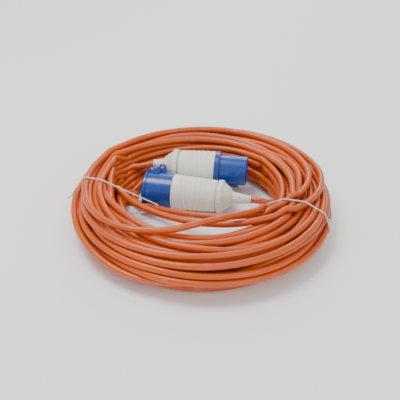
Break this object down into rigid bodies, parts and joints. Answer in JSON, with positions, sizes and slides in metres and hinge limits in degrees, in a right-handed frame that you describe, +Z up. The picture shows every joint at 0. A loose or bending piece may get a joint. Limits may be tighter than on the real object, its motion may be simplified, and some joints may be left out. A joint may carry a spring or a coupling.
{
  "type": "shore power cord",
  "caption": "Coiled caravan hook-up lead: an orange cable in a tied round coil, with a lidded blue coupler and a blue pin-and-shroud plug lying in its opening.",
  "frame": {"origin": "on the surface it lies on, under the middle of the plug and the coupler together", "axes": "+X to the right along the pair of connectors, +Y to the back, +Z up"},
  "size_m": [0.3608, 0.356, 0.0734],
  "materials": {
    "blue_plastic": "satin, moulded",
    "pale_plastic": "satin, moulded",
    "pale_relief": "satin, flexible",
    "grey_insert": "matt, moulded",
    "contact_brass": "nickelled brass, bright",
    "steel": "plated",
    "black_rubber": "matt",
    "brown_core": "smooth",
    "blue_core": "smooth",
    "green_yellow_core": "smooth, two colours",
    "tie": "thin covered wire",
    "orange_sheath": "glossy flexible sheath"
  },
  "bodies": {
    "cord_set": {"coupler_collar": "blue_plastic", "coupler_contact_carrier": "grey_insert", "coupler_line_contact": "contact_brass", "coupler_neutral_contact": "contact_brass", "coupler_earth_contact": "contact_brass", "coupler_terminal_screws": "steel", "coupler_hinge_pin": "steel", "coupler_hinge_spring": "steel", "coupler_seal_ring": "black_rubber", "coupler_handle": "pale_plastic", "coupler_gland_seal": "black_rubber", "coupler_gland_claw": "pale_plastic", "coupler_line_core": "brown_core", "coupler_neutral_core": "blue_core", "coupler_earth_core": "green_yellow_core", "plug_shroud": "blue_plastic", "plug_pin_carrier": "grey_insert", "plug_line_pin": "contact_brass", "plug_neutral_pin": "contact_brass", "plug_earth_pin": "contact_brass", "plug_terminal_screws": "steel", "plug_seal_ring": "black_rubber", "plug_handle": "pale_plastic", "plug_gland_seal": "black_rubber", "plug_gland_claw": "pale_plastic", "plug_line_core": "brown_core", "plug_neutral_core": "blue_core", "plug_earth_core": "green_yellow_core", "cord_coil": "orange_sheath", "coupler_lead": "orange_sheath", "plug_lead": "orange_sheath", "left_tie": "tie", "right_tie": "tie"},
    "lid": {"coupler_lid": "blue_plastic", "coupler_lid_gasket": "black_rubber"},
    "coupler_relief": {"coupler_bend_relief": "pale_relief"},
    "coupler_nut": {"coupler_gland_nut": "pale_plastic"},
    "plug_relief": {"plug_bend_relief": "pale_relief"},
    "plug_nut": {"plug_gland_nut": "pale_plastic"},
    "coupler_press_tab": {"coupler_latch": "pale_plastic"},
    "plug_press_tab": {"plug_latch": "pale_plastic"}
  },
  "joints": [
    {"name": "lid_hinge", "type": "hinge", "parent": "cord_set", "child": "lid", "pos_m": [-0.06298, 0.00356, 0.05137], "axis": [0.1582, 0.8138, -0.5592], "range_deg": [0, 100], "stiffness_Nm_per_rad": 0.012, "springref_deg": -34.38, "deforming": ["coupler_hinge_spring"]},
    {"name": "coupler_relief_slide", "type": "slide", "parent": "cord_set", "child": "coupler_relief", "axis": [0.9816, -0.1908, 0], "range_m": [0, 0.0045]},
    {"name": "coupler_nut_turn", "type": "hinge", "parent": "coupler_relief", "child": "coupler_nut", "pos_m": [0.03492, -0.03256, 0.0265], "axis": [0.9816, -0.1908, 0], "range_deg": [0, 1080]},
    {"name": "plug_relief_slide", "type": "slide", "parent": "cord_set", "child": "plug_relief", "axis": [-0.9902, 0.1392, 0.014], "range_m": [0, 0.0045]},
    {"name": "plug_nut_turn", "type": "hinge", "parent": "plug_relief", "child": "plug_nut", "pos_m": [-0.03144, 0.03196, 0.0405], "axis": [-0.9902, 0.1392, 0.014], "range_deg": [0, 1080]},
    {"name": "coupler_tab_press", "type": "slide", "parent": "cord_set", "child": "coupler_press_tab", "axis": [-0.1582, -0.8138, 0.5592], "range_m": [0, 0.0012], "stiffness_N_per_m": 900, "springref_m": -0.0006},
    {"name": "plug_tab_press", "type": "slide", "parent": "cord_set", "child": "plug_press_tab", "axis": [0.1261, 0.9312, -0.342], "range_m": [0, 0.0012], "stiffness_N_per_m": 900, "springref_m": -0.0006}
  ],
  "couplings": [
    {"joint": "coupler_relief_slide", "follows": "coupler_nut_turn", "m_per_rad": 0.00023873},
    {"joint": "plug_relief_slide", "follows": "plug_nut_turn", "m_per_rad": 0.00023873}
  ]
}
